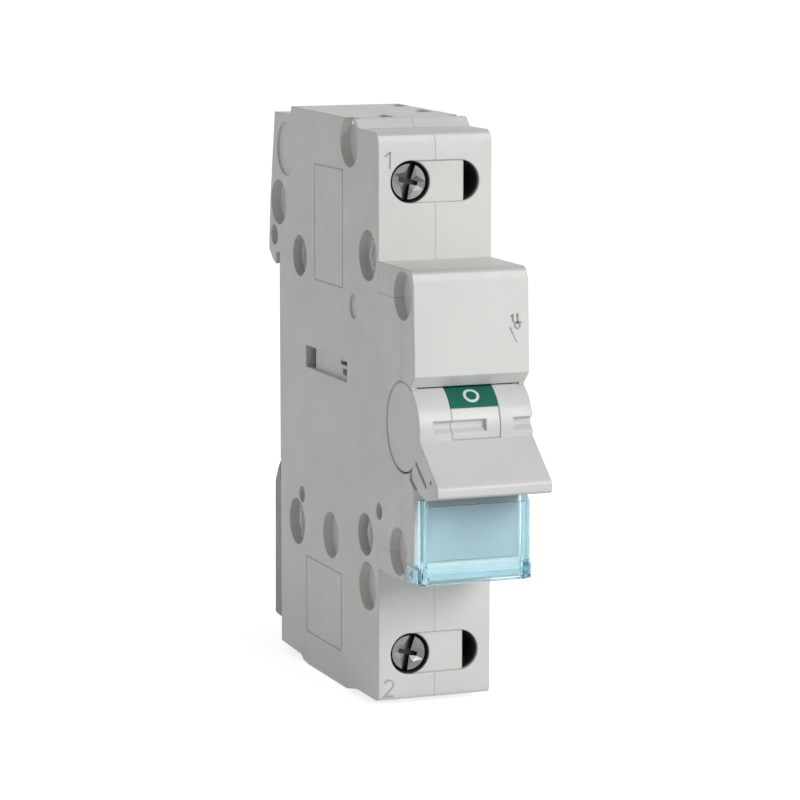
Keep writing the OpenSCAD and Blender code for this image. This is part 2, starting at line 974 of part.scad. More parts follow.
module off_indicator() {
    color("seagreen")
        colour_band(green_from, green_to);
}

module on_indicator() {
    color("firebrick")
        colour_band(red_from, red_to);
}

module handle_axle() {
    color("silver")
        pin_x(pivot_y, pivot_z, axle_r, -bearing_out, bearing_out);
}

// Torsion spring on the axle, between the core and the bearing wall
module handle_spring() {
    spring_gap = 0.3;
    color("dimgray")
        translate([core_half + spring_gap, pivot_y, pivot_z])
            rotate([0, 90, 0])
                coil(axle_r + 0.6, 0.3, bearing_in - core_half - spring_gap, 2);
}

// Switching mechanism
link_half = 1;
link_bar = 0.8;
link_pin_r = 0.9;
link_pin_half = 2.2;
slot_play = 0.35;
carrier_half = 2.9;
carrier_slot_half = 1.15;
carrier_head = 1.9;
carrier_wall = 2.1;
carrier_pin_z = pivot_z + (crank_r + crank_r * cos(swing / 2)) / 2;
stem_half = 1.2;
stem_foot = 0.5;
stem_head_t = 0.9;
bridge_t = 1;
bridge_half = 2.1;
bridge_lap = 2.2;
bridge_front = leg_front - tip_t - stroke - contact_gap - tip_t - bridge_t;

module drive_link() {
    color("silver")
        difference() {
            union() {
                pin_x(crank_y, crank_z, link_eye_r, -link_half, link_half);
                pin_x(link_end_y, crank_z, link_pin_r, -link_pin_half, link_pin_half);
                block(
                    [-link_half, crank_y, crank_z - link_bar],
                    [link_half, link_end_y, crank_z + link_bar]
                );
            }
            pin_x(crank_y, crank_z, crank_pin_r + run_gap, -link_half - cut, link_half + cut);
        }
}

module contact_carrier() {
    shoulder = link_end_y + 6;
    color("dimgray")
        difference() {
            union() {
                block(
                    [-carrier_half, carrier_front, -guide_z],
                    [carrier_half, carrier_step_y, carrier_pin_z + carrier_head]
                );
                block([-carrier_half, carrier_step_y - cut, -guide_z], [carrier_half, shoulder, guide_z]);
                block(
                    [-stem_half, shoulder - 1, -stem_half],
                    [stem_half, bridge_front + bridge_t, stem_half]
                );
                block(
                    [-stem_half, bridge_front + bridge_t, -stem_half - stem_foot],
                    [stem_half, bridge_front + bridge_t + stem_head_t, stem_half + stem_foot]
                );
            }
            // Slot for the link, open to the front and above
            block(
                [-carrier_slot_half, carrier_front - cut, carrier_wall - guide_z],
                [carrier_slot_half, link_end_y + 1.6, carrier_pin_z + carrier_head + cut]
            );
            for (z = [carrier_pin_z - slot_play, carrier_pin_z + slot_play])
                pin_x(link_end_y, z, link_pin_r + run_gap, -carrier_half - cut, carrier_half + cut);
            block(
                [-carrier_half - cut, link_end_y - link_pin_r - run_gap, carrier_pin_z - slot_play],
                [carrier_half + cut, link_end_y + link_pin_r + run_gap, carrier_pin_z + slot_play]
            );
        }
}

module contact_bridge() {
    reach = contact_z + bridge_lap;
    hole = stem_half + run_gap;
    color("peru")
        difference() {
            block(
                [-bridge_half, bridge_front, pivot_z - reach],
                [bridge_half, bridge_front + bridge_t, pivot_z + reach]
            );
            block([-hole, bridge_front - cut, -hole], [hole, bridge_front + bridge_t + cut, hole]);
        }
}

module moving_contact_tips() {
    tip_y0 = bridge_front + bridge_t;
    color("silver")
        for (dir = [-1, 1])
            pin_y(0, pivot_z + dir * contact_z, tip_r, tip_y0, tip_y0 + tip_t);
}

// Contact pressure spring on the carrier's stem
module contact_spring() {
    spring_y = link_end_y + 6;
    color("silver")
        translate([0, bridge_front, 0])
            rotate([90, 0, 0])
                coil(stem_half + 1, 0.3, bridge_front - spring_y, 4);
}

// Label flap
flap_y = -flap_front;
flap_top = holder_top - 1.5;
flap_out = half_w - 0.6;
flap_side = flap_out - flap_t;
flap_lap = flap_side + 0.1;
flap_back = nose_y - 0.1;
pin_reach = 0.7;

// Clear flap over the label, with an ear and a hinge stub at each side
module label_flap() {
    color([0.65, 0.85, 0.92, 0.45])
        union() {
            both_sides() {
                // Side wall
                across(-flap_out, -flap_side)
                    polygon([
                        [flap_back, flap_top],
                        [flap_y + 0.8, flap_top],
                        [flap_y, flap_top - 0.8],
                        [flap_y, hinge_z + 0.3],
                        [flap_y + 0.9, hinge_z - 1],
                        [flap_back, hinge_z - 1]
                    ]);
                // Ear and arm
                across(-ear_out, -ear_in)
                    union() {
                        translate([hinge_y, hinge_z])
                            circle(r = ear_r);
                        translate([flap_back - ear_r, hinge_z - 1])
                            square([hinge_y - flap_back + ear_r, ear_r + 1]);
                    }
                pin_x(hinge_y, hinge_z, hinge_pin_r, -ear_in - 0.1, pin_reach - ear_in);
            }
            // Front and the thick lower bar
            block([-flap_lap, flap_y, hinge_z], [flap_lap, flap_y + flap_t, flap_top - 0.8]);
            block([-flap_lap, flap_y + 0.3, hinge_z - 1], [flap_lap, flap_back - 0.2, hinge_z + 0.6]);
        }
}

left_shell();
right_shell();
nose_cover();
label_holder();
housing_rivets();
upper_slot_insert();
lower_slot_insert();
upper_terminal_bar();
lower_terminal_bar();
fixed_contact_tips();
label_card();
rail_clip();
handle();
handle_core();
off_indicator();
on_indicator();
handle_axle();
handle_spring();
drive_link();
contact_carrier();
contact_bridge();
moving_contact_tips();
contact_spring();
upper_terminal_screw();
lower_terminal_screw();
upper_clamp_cage();
lower_clamp_cage();
label_flap();
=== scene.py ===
import json
import math

import bmesh
import bpy
from mathutils import Matrix, Vector


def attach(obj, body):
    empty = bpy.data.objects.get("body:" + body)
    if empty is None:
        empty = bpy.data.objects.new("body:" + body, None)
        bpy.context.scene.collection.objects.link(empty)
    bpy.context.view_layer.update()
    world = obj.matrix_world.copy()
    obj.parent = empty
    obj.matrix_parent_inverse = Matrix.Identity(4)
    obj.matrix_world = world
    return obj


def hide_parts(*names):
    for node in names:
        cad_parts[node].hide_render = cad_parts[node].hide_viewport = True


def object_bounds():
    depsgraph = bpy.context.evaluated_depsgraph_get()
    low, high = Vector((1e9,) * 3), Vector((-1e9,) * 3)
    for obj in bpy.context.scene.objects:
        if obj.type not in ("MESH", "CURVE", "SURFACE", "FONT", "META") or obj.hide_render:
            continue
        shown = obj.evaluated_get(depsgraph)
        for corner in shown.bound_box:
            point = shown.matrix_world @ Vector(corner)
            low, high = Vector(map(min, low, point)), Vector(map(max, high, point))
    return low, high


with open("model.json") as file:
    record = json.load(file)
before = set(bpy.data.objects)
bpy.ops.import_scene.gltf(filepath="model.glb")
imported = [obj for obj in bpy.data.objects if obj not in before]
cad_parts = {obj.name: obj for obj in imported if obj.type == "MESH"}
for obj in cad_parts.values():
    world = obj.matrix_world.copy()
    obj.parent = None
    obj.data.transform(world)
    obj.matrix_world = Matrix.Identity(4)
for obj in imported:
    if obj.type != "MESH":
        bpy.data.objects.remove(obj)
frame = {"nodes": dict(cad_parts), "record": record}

cad_low, cad_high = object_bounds()
NODES = frame["nodes"]
SCENE = bpy.context.scene

# Lengths are in millimetres, apart from the stage's
MM = 0.001

# Camera, fitted to the photograph's straight edges
CAM_AZIMUTH = -20.82
CAM_ELEVATION = 8.53
CAM_DISTANCE = 525.3
CAM_TARGET = Vector((0, -25, 0))
CAM_RIGHT_OFFSET = 1.68
CAM_UP_OFFSET = -0.78
CAM_LENS = 156.8
SENSOR = 36.0

# Body names
HOUSING = "housing"
LEVER = "lever"

# Faces of the part that the added pieces lie on
FRONT_Y = -44.0
NOSE_Y = -58.3
SIDE_X = -8.75
PIVOT_Y = -53.8
PIVOT_Z = -0.2
CORE_R = 6.35
SCREW_X = -3.8
UPPER_Z = 33.8
LOWER_Z = -35.6
TERMINALS = (("upper", UPPER_Z), ("lower", LOWER_Z))

# Edges bent by more than this are sharp. The nodes in PIERCED have many openings in flat faces,
# so they keep the imported triangles, and their edges are rounded in the shading only.
SHARP_ANGLE = math.radians(32)
FLAT_ANGLE = math.radians(0.6)
WELD_REACH = 0.001
SOFT_EDGE = 0.3
SMALL_EDGE = 0.05
EDGES = {"rail_clip": 0.2, "label_flap": 0.12, "housing_rivets": 0.15}
PIERCED = ("left_shell", "right_shell", "nose_cover", "label_holder", "handle")
SPRINGS = ("handle_spring", "contact_spring")

# Printed marks, and darker lines that paint the shade of engraved grooves, raised by the thickness
# of the ink
INK_TOP = 0.02
INK_ROOT = -0.03
FIGURE_LINE = 0.3
SYMBOL_LINE = 0.2
# Width of the frame lines on the left side, which paint the shade in engraved grooves.
FRAME_LINE = 0.2
LEVER_LINE = 0.44
GREEN_ANGLE = 48
RED_ANGLE = -88

# Black sleeves in the terminal openings: painted shade that stands for the shadow deep in the screw
# wells and in the half-moon openings beside the inserts
WELL_R = 3.08
WELL_INNER_R = 2.3
WELL_DEPTH = 2.97
WELL_SHADE_SLEEVE_TOP = 0.4
WELL_FLOOR_T = 0.05
SLOT_R = 3.03
SLOT_DEPTH = 5.95
SLOT_SHADE_SLEEVE_TOP = 0.5
INSERT_END = 4.53
SHADE_SLEEVE_T = 0.12

# Terminal screws: the slot is turned a little, with a shorter cross arm and sloping facets. The
# walls and floor of the slot and cross take a near-black finish, which is painted shade
HEAD_FRONT = FRONT_Y + 0.8
HEAD_R = 2.75
HEAD_FACE_R = 2.55
HEAD_CHAMFER = 0.3
HEAD_FOOT = FRONT_Y + 2.9
SHANK_R = 2.0
SHANK_END = FRONT_Y + 10.5
THREAD_R = 1.7
THREAD_PITCH = 0.8
THREAD_RUNOUT = 0.3
SLOT_HALF = 0.42
SLOT_TILT = -14
ARM_HALF = 0.4
ARM_END = 1.5
ARM_TAPER = 0.7
RECESS_DEPTH = 1.2
FACET_PEAK = (0.95, 1.15, 0.02)

# Thin fillings that keep the seams round the handle's cheeks from showing as black gaps
SEAM_INNER_R = 6.45
SEAM_OUTER_R = 6.64
SEAM_FRONT_X = 8.62
SEAM_REAR_X = 7.85
SEAM_START = 62
SEAM_END = 245

# Stage, in metres
FLOOR_REACH = 6.0
FLOOR_DROP = 0.0001
FLOOR_GLOW = 0.7
AMBIENT = 0.27


def make_camera():
    az, el = math.radians(CAM_AZIMUTH), math.radians(CAM_ELEVATION)
    back = Vector((math.sin(az) * math.cos(el), -math.cos(az) * math.cos(el), math.sin(el)))
    right = Vector((math.cos(az), math.sin(az), 0))
    up = back.cross(right)
    data = bpy.data.cameras.new("camera")
    data.sensor_width = SENSOR
    data.lens = CAM_LENS
    data.clip_start = 0.01
    camera = bpy.data.objects.new("camera", data)
    SCENE.collection.objects.link(camera)
    place = CAM_TARGET + right * CAM_RIGHT_OFFSET + up * CAM_UP_OFFSET + back * CAM_DISTANCE
    turn = Matrix((right, up, back)).transposed().to_4x4()
    camera.matrix_world = Matrix.Translation(place * MM) @ turn
    SCENE.camera = camera


def add_node(tree, kind, **values):
    """New node with its inputs or properties set by name."""
    node = tree.nodes.new(kind)
    for key, value in values.items():
        if key in node.inputs:
            node.inputs[key].default_value = value
        else:
            setattr(node, key, value)
    return node


def seen_directly(tree):
    """Socket that is 1 for the rays of the camera, of reflections and of clear plastic."""
    path = add_node(tree, "ShaderNodeLightPath")
    seen = path.outputs["Is Camera Ray"]
    for kind in ("Is Glossy Ray", "Is Transmission Ray"):
        either = add_node(tree, "ShaderNodeMath", operation="MAXIMUM")
        tree.links.new(seen, either.inputs[0])
        tree.links.new(path.outputs[kind], either.inputs[1])
        seen = either.outputs[0]
    return seen


class Shader:
    """A material's node tree with short calls to add and join nodes."""

    def __init__(self, name):
        self.material = bpy.data.materials.new(name)
        self.material.use_nodes = True
        self.tree = self.material.node_tree
        self.tree.nodes.clear()
        self.output = self.add("ShaderNodeOutputMaterial")
        self.coords = self.add("ShaderNodeTexCoord")

    def add(self, kind, **values):
        return add_node(self.tree, kind, **values)

    def join(self, source, target):
        self.tree.links.new(source, target)

    def noise(self, scale, detail=3.0, roughness=0.5):
        node = self.add("ShaderNodeTexNoise", Scale=scale, Detail=detail, Roughness=roughness)
        self.join(self.coords.outputs["Object"], node.inputs["Vector"])
        return node.outputs["Fac"]

    def ramp(self, fac, low, high, start=0.35, end=0.65):
        """Colour between low and high, as fac goes from start to end."""
        node = self.add("ShaderNodeValToRGB")
        for element, position, colour in zip(node.color_ramp.elements, (start, end), (low, high)):
            element.position = position
            element.color = (*colour, 1)
        self.join(fac, node.inputs["Fac"])
        return node.outputs["Color"]

    def span(self, fac, low, high):
        """Value between low and high, as fac goes from 0.3 to 0.7."""
        node = self.add("ShaderNodeMapRange")
        for name, value in (("From Min", 0.3), ("From Max", 0.7), ("To Min", low), ("To Max", high)):
            node.inputs[name].default_value = value
        self.join(fac, node.inputs["Value"])
        return node.outputs["Result"]

    def bump(self, height, strength, distance, normal=None):
        node = self.add("ShaderNodeBump", Strength=strength, Distance=distance)
        self.join(height, node.inputs["Height"])
        if normal:
            self.join(normal, node.inputs["Normal"])
        return node.outputs["Normal"]

    def soft_edges(self, radius):
        return self.add("ShaderNodeBevel", Radius=radius, samples=6).outputs["Normal"]


def shade(colour, factor):
    return tuple(min(1.0, c * factor) for c in colour)


def moulded(name, colour, roughness=0.42, spread=0.04, grain=0.25, gloss=0.5):
    """Moulded plastic: soft edges, slight drift of tone and spark-eroded grain."""
    s = Shader(name)
    bsdf = s.add("ShaderNodeBsdfPrincipled")
    tone = s.ramp(s.noise(55, 2.0), shade(colour, 1 - spread), shade(colour, 1 + spread))
    s.join(tone, bsdf.inputs["Base Color"])
    s.join(s.span(s.noise(420, 3.0), roughness - 0.05, roughness + 0.07), bsdf.inputs["Roughness"])
    grained = s.bump(s.noise(6500, 4.0, 0.6), grain, 0.00003, s.soft_edges(SOFT_EDGE * MM))
    s.join(grained, bsdf.inputs["Normal"])
    bsdf.inputs["Specular IOR Level"].default_value = gloss
    s.join(bsdf.outputs[0], s.output.inputs["Surface"])
    return s.material


def metal(name, colour, roughness=0.25, grain=0.2, scale=900):
    """Plated or rolled metal: fine scratches and patches of duller plating."""
    s = Shader(name)
    bsdf = s.add("ShaderNodeBsdfPrincipled", Metallic=1.0)
    tone = s.ramp(s.noise(240, 4.0), shade(colour, 0.82), shade(colour, 1.05))
    s.join(tone, bsdf.inputs["Base Color"])
    s.join(s.span(s.noise(700, 4.0), roughness * 0.7, roughness * 1.5), bsdf.inputs["Roughness"])
    s.join(s.bump(s.noise(scale, 5.0, 0.7), grain, 0.00004), bsdf.inputs["Normal"])
    s.join(bsdf.outputs[0], s.output.inputs["Surface"])
    return s.material


def clear_tinted(name, tint, absorbed, density, roughness=0.08):
    """Clear blue polycarbonate: a little tint at its faces, the rest taken up in its depth."""
    s = Shader(name)
    bsdf = s.add("ShaderNodeBsdfPrincipled", IOR=1.4)
    bsdf.inputs["Transmission Weight"].default_value = 1.0
    colour = s.ramp(s.noise(120, 2.0), shade(tint, 0.98), shade(tint, 1.02))
    s.join(colour, bsdf.inputs["Base Color"])
    s.join(s.span(s.noise(500, 2.0), roughness * 0.6, roughness * 1.6), bsdf.inputs["Roughness"])
    s.join(s.bump(s.noise(300, 1.0), 0.02, 0.00003), bsdf.inputs["Normal"])
    through = s.add("ShaderNodeBsdfTransparent")
    s.join(colour, through.inputs["Color"])
    path = s.add("ShaderNodeLightPath")
    mix = s.add("ShaderNodeMixShader")
    s.join(path.outputs["Is Shadow Ray"], mix.inputs["Fac"])
    s.join(bsdf.outputs[0], mix.inputs[1])
    s.join(through.outputs[0], mix.inputs[2])
    s.join(mix.outputs[0], s.output.inputs["Surface"])
    depth = s.add("ShaderNodeVolumeAbsorption", Color=(*absorbed, 1), Density=density)
    s.join(depth.outputs[0], s.output.inputs["Volume"])
    return s.material


HOUSING_GREY = (0.66, 0.66, 0.64)
LEVER_GREY = (0.635, 0.635, 0.625)

# Materials of the record's slots
MATERIALS = {
    "housing": moulded("housing_plastic", HOUSING_GREY, 0.44),
    "insert": moulded("insert_plastic", HOUSING_GREY, 0.4),
    "card": moulded("card", (0.40, 0.42, 0.43), 0.6, grain=0.03, gloss=0.2),
    "clip": moulded("clip_plastic", (0.25, 0.25, 0.26), 0.45),
    "lever": moulded("lever_plastic", LEVER_GREY, 0.36, grain=0.2),
    "green": moulded("green_print", (0.012, 0.132, 0.096), 0.4, grain=0.1, gloss=0.15),
    "red": moulded("red_print", (0.42, 0.02, 0.018), 0.4, grain=0.1, gloss=0.2),
    "carrier": moulded("carrier_plastic", (0.03, 0.03, 0.032), 0.5),
    "rivet": metal("rivet_metal", (0.30, 0.30, 0.30), 0.4),
    "bar": metal("copper_bar", (0.60, 0.33, 0.19), 0.3),
    "tip": metal("silver_tip", (0.75, 0.74, 0.70), 0.35),
    "steel": metal("zinc_steel", (0.50, 0.51, 0.53), 0.3),
    "spring": metal("spring_steel", (0.42, 0.43, 0.45), 0.28),
    "screw": metal("nickel_screw", (0.21, 0.21, 0.205), 0.3, grain=0.3, scale=1600),
    "cage": metal("zinc_cage", (0.56, 0.57, 0.58), 0.3),
    "flap": clear_tinted("clear_flap", (0.88, 0.93, 0.94), (0.42, 0.80, 0.92), 320.0),
}
PRINT_GREY = moulded("print_grey", (0.50, 0.49, 0.48), 0.5, grain=0.1)
PRINT_WHITE = moulded("print_white", (0.70, 0.80, 0.80), 0.45, grain=0.1)
# Darker grey of the frame lines: painted shade of the engraved grooves in the left side.
GROOVE_SHADE_GREY = moulded("groove_shade_grey", (0.52, 0.52, 0.51), 0.5, grain=0.1)
# Near-black metal for the walls and floor of the screw heads' slot and cross: painted shade.
SCREW_RECESS_SHADE = metal("screw_recess_shade", (0.04, 0.04, 0.04), 0.4)


def mark_sharp_edges(attribute, data_type):
    """Node group that writes 1 to the attribute on the sharp edges, and 0 on the rest."""
    group = bpy.data.node_groups.new("mark_" + attribute, "GeometryNodeTree")
    for in_out in ("INPUT", "OUTPUT"):
        group.interface.new_socket("Geometry", in_out=in_out, socket_type="NodeSocketGeometry")
    angle = add_node(group, "GeometryNodeInputMeshEdgeAngle")
    sharp = add_node(group, "ShaderNodeMath", operation="GREATER_THAN")
    sharp.inputs[1].default_value = SHARP_ANGLE
    store = add_node(group, "GeometryNodeStoreNamedAttribute", data_type=data_type, domain="EDGE")
    store.inputs["Name"].default_value = attribute
    group.links.new(angle.outputs[0], sharp.inputs[0])
    group.links.new(sharp.outputs[0], store.inputs["Value"])
    group.links.new(add_node(group, "NodeGroupInput").outputs[0], store.inputs["Geometry"])
    group.links.new(store.outputs[0], add_node(group, "NodeGroupOutput").inputs[0])
    return group


SMOOTH_LIMITS = mark_sharp_edges("sharp_edge", "BOOLEAN")
BEVEL_WEIGHTS = mark_sharp_edges("bevel_weight_edge", "FLOAT")


def add_modifier(obj, name, kind, **values):
    modifier = obj.modifiers.new(name, kind)
    for key, value in values.items():
        setattr(modifier, key, value)


def round_edges(obj, width):
    """Welds the imported faces, joins the flat ones and rounds the sharp edges."""
    add_modifier(obj, "weld", "WELD", merge_threshold=WELD_REACH * MM)
    obj.data.shade_smooth()
    if obj.name in PIERCED:
        add_modifier(obj, "sharp", "NODES", node_group=SMOOTH_LIMITS)
        add_modifier(obj, "normals", "WEIGHTED_NORMAL", keep_sharp=True)
        return
    add_modifier(obj, "flat", "DECIMATE", decimate_type="DISSOLVE", angle_limit=FLAT_ANGLE)
    add_modifier(obj, "weights", "NODES", node_group=BEVEL_WEIGHTS)
    add_modifier(
        obj, "bevel", "BEVEL", width=width * MM, segments=3, limit_method="WEIGHT",
        use_clamp_overlap=False, miter_outer="MITER_ARC", face_strength_mode="FSTR_ALL",
    )
    add_modifier(obj, "normals", "WEIGHTED_NORMAL", keep_sharp=True, use_face_influence=True)


def dress_nodes():
    slots = {row["node"]: row["material_slot"] for row in frame["record"]["subparts"]}
    for name, obj in NODES.items():
        obj.data.materials.clear()
        obj.data.materials.append(MATERIALS[slots[name]])
        if name not in SPRINGS:
            round_edges(obj, EDGES.get(name, SMALL_EDGE))


def finish_piece(name, bm, materials, body):
    """Object from the mesh under construction; it takes a slot's finish and rides a body."""
    bmesh.ops.remove_doubles(bm, verts=bm.verts, dist=1e-8)
    bmesh.ops.recalc_face_normals(bm, faces=bm.faces)
    mesh = bpy.data.meshes.new(name)
    bm.to_mesh(mesh)
    bm.free()
    for material in materials:
        mesh.materials.append(material)
    obj = bpy.data.objects.new(name, mesh)
    SCENE.collection.objects.link(obj)
    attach(obj, body)
    return obj


def join_loops(bm, loops):
    """Quads between each two neighbours in a row of equally long closed loops."""
    for a, b in zip(loops, loops[1:]):
        for i in range(len(a)):
            j = (i + 1) % len(a)
            bm.faces.new((a[i], a[j], b[j], b[i]))


def cap_loops(bm, loops):
    """Faces over the first and the last of a row of loops."""
    bm.faces.new(loops[0][::-1])
    bm.faces.new(loops[-1])


def on_front(y):
    return lambda u, v, h: (u, y - h, v)


def on_left_side(u, v, h):
    return SIDE_X - h, u, v


def on_core(angle):
    """Place on the handle's round core; v runs round it from the angle."""
    def place(u, v, h):
        turn = math.radians(angle) + v / CORE_R
        r = CORE_R + h
        return u, PIVOT_Y - r * math.cos(turn), PIVOT_Z + r * math.sin(turn)
    return place


def mitred(points, closed):
    """For each point of a line: the point and its sideways step for a line half a unit wide."""
    steps = []
    count = len(points)
    for i, point in enumerate(points):
        before = points[i - 1] if closed or i else None
        after = points[(i + 1) % count] if closed or i < count - 1 else None
        runs = [
            (Vector(b) - Vector(a)).normalized()
            for a, b in ((before, point), (point, after)) if a is not None and b is not None
        ]
        sides = [Vector((-run.y, run.x)) for run in runs]
        normal = sum(sides, Vector((0.0, 0.0))).normalized()
        steps.append((Vector(point), normal / max(0.4, normal.dot(sides[0])) / 2))
    return steps


def ink(name, lines, width, place, material, body):
    """One mesh of flat strokes; each line is (points, closed)."""
    bm = bmesh.new()
    for points, closed in lines:
        loops = []
        for point, step in mitred(points, closed):
            left, right = point - step * width, point + step * width
            corners = ((left, INK_ROOT), (right, INK_ROOT), (right, INK_TOP), (left, INK_TOP))
            loops.append([bm.verts.new(Vector(place(p.x, p.y, h)) * MM) for p, h in corners])
        if closed:
            join_loops(bm, loops + loops[:1])
        else:
            join_loops(bm, loops)
            cap_loops(bm, loops)
    finish_piece(name, bm, (material,), body)


def arc(u, v, r, start, end, count):
    return [
        (u + r * math.cos(math.radians(a)), v + r * math.sin(math.radians(a)))
        for a in (start + (end - start) * i / (count - 1) for i in range(count))
    ]


def ring(u, v, r, count):
    return arc(u, v, r, 0, 360 - 360 / count, count)


def figure_one(u, v, high):
    """Figure 1 whose stem's foot is at u, v."""
    flag = [(u - 0.34 * high, v + 0.76 * high), (u - 0.04 * high, v + high)]
    return [(flag + [(u, v + high), (u, v)], False)]


def figure_two(u, v, high):
    """Figure 2 whose lower left corner is at u, v."""
    r = 0.29 * high
    bow = arc(u + r, v + high - r, r, 165, -38, 12)
    return [(bow + [(u, v), (u + 2.1 * r, v)], False)]


def make_marks():
    front = on_front(FRONT_Y)
    one = figure_one(-6.95, 35.8, 2.3)
    two = figure_two(-7.85, -41.7, 2.4)
    ink("terminal_mark_1", one, FIGURE_LINE, front, PRINT_GREY, HOUSING)
    ink("terminal_mark_2", two, FIGURE_LINE, front, PRINT_GREY, HOUSING)
    symbol = [
        ([(7.05, 16.0), (7.05, 14.7)], False),
        ([(6.4, 14.7), (7.7, 14.7)], False),
        (ring(7.05, 14.2, 0.4, 24), True),
        ([(5.87, 14.0), (7.23, 11.15), (7.23, 10.2)], False),
    ]
    symbol += figure_one(6.32, 14.9, 0.85) + figure_two(6.2, 10.08, 0.9)
    ink("switch_symbol", symbol, SYMBOL_LINE, on_front(NOSE_Y), PRINT_GREY, HOUSING)
    circle = [(ring(0, 0, 1.0, 48), True)]
    bar = [([(0, -1.1 + 0.22 * i) for i in range(11)], False)]
    ink("off_mark", circle, LEVER_LINE, on_core(GREEN_ANGLE), PRINT_WHITE, LEVER)
    ink("on_mark", bar, LEVER_LINE, on_core(RED_ANGLE), PRINT_WHITE, LEVER)
    # Frames on the left side: engraved grooves drawn as darker flat lines, which is painted groove
    # shade.
    for name, low, high in (
        ("upper_frame_mark", (-28.8, 17), (-16.4, 34.5)),
        ("lower_frame_mark", (-27.9, -38.2), (-12.2, -26.4)),
    ):
        frame_line = [([low, (high[0], low[1]), high, (low[0], high[1])], True)]
        ink(name, frame_line, FRAME_LINE, on_left_side, GROOVE_SHADE_GREY, HOUSING)


def lathe(bm, x, z, profile, count=64):
    """Closed ring round an axis along Y; the profile lists (radius, y)."""
    loops = []
    for i in range(count):
        c, s = math.cos(2 * math.pi * i / count), math.sin(2 * math.pi * i / count)
        loops.append([bm.verts.new(Vector((x + r * c, y, z + r * s)) * MM) for r, y in profile])
    join_loops(bm, loops + loops[:1])


# Black sleeve down the wall of a screw well, from a little below its rim: painted shade round the
# screw head.
def make_well_shade_sleeve(side, z):
    bm = bmesh.new()
    top, foot = FRONT_Y + WELL_SHADE_SLEEVE_TOP, FRONT_Y + WELL_DEPTH
    inner = WELL_R - SHADE_SLEEVE_T
    lathe(bm, SCREW_X, z, [
        (WELL_R, top), (WELL_R, foot), (WELL_INNER_R, foot),
        (WELL_INNER_R, foot - WELL_FLOOR_T), (inner, foot - WELL_FLOOR_T), (inner, top),
    ])
    finish_piece(side + "_well_shade_sleeve", bm, (MATERIALS["carrier"],), HOUSING)


# Black cup in the half-moon opening beside the insert: painted shade of the deep opening.
def make_slot_shade_sleeve(side, z):
    bm = bmesh.new()
    top, foot = FRONT_Y + SLOT_SHADE_SLEEVE_TOP, FRONT_Y + SLOT_DEPTH
    chord = math.degrees(math.acos((INSERT_END + SCREW_X) / SLOT_R))
    outer = arc(-SCREW_X, z, SLOT_R, -chord, chord, 40)
    inner = arc(-SCREW_X, z, SLOT_R - SHADE_SLEEVE_T, -chord + 3, chord - 3, 40)
    inner = [(max(u, INSERT_END + SHADE_SLEEVE_T), v) for u, v in inner]
    loops = [
        [bm.verts.new(Vector((u, y, v)) * MM) for u, v in loop]
        for loop, y in ((outer, foot), (outer, top), (inner, top), (inner, foot - SHADE_SLEEVE_T))
    ]
    join_loops(bm, loops)
    cap_loops(bm, loops)
    finish_piece(side + "_slot_shade_sleeve", bm, (MATERIALS["carrier"],), HOUSING)


def half_head(bm, place, side):
    """Half of the head on one side of its slot; side is 1 or -1."""
    def vert(u, v, depth):
        return bm.verts.new(Vector(place(side * u, side * v, depth)) * MM)

    count = 24
    foot = RECESS_DEPTH + 0.1
    face_end = math.degrees(math.acos(SLOT_HALF / HEAD_FACE_R))
    rim_end = math.degrees(math.acos(SLOT_HALF / HEAD_R))
    face_arc = [vert(u, v, 0) for u, v in arc(0, 0, HEAD_FACE_R, face_end, -face_end, count + 1)]
    rim_points = arc(0, 0, HEAD_R, rim_end, -rim_end, count + 1)
    rim_arc = [vert(u, v, HEAD_CHAMFER) for u, v in rim_points]
    rim_foot = [vert(u, v, foot) for u, v in rim_points]
    tip_half = ARM_TAPER * ARM_HALF
    notch_points = [
        (SLOT_HALF, ARM_HALF, 0.5), (ARM_END, tip_half, 0.3),
        (ARM_END, -tip_half, 0.3), (SLOT_HALF, -ARM_HALF, 0.5),
    ]
    notch = [vert(*point) for point in notch_points]
    notch_foot = [vert(u, v, foot) for u, v, depth in notch_points]

    # Facets: each quarter slopes down from its peak to the slot, the arm and the rim
    u, v, depth = FACET_PEAK
    quarter = count // 2 - 2
    for peak, slot_end, arm_end, run in (
        (vert(u, v, depth), notch[0], notch[1], face_arc[:quarter + 1]),
        (vert(u, -v, depth), notch[3], notch[2], face_arc[::-1][:quarter + 1]),
    ):
        chain = [arm_end, slot_end, *run, arm_end]
        for a, b in zip(chain, chain[1:]):
            bm.faces.new((a, b, peak))
    bm.faces.new([notch[1], *face_arc[quarter:count + 1 - quarter], notch[2]])
    for upper, lower in ((face_arc, rim_arc), (rim_arc, rim_foot)):
        for quad in zip(upper, upper[1:], lower[1:], lower):
            bm.faces.new(quad)
    # The walls of the slot and the arm, and the slot's ends, take the second, near-black finish:
    # painted shade.
    walls = [bm.faces.new(quad) for quad in zip(notch, notch[1:], notch_foot[1:], notch_foot)]
    for end in (0, -1):
        corners = (face_arc[end], rim_arc[end], rim_foot[end], notch_foot[end], notch[end])
        walls.append(bm.faces.new(corners))
    for face in walls:
        face.material_index = 1
    bm.faces.new([*rim_foot, *notch_foot[::-1]])


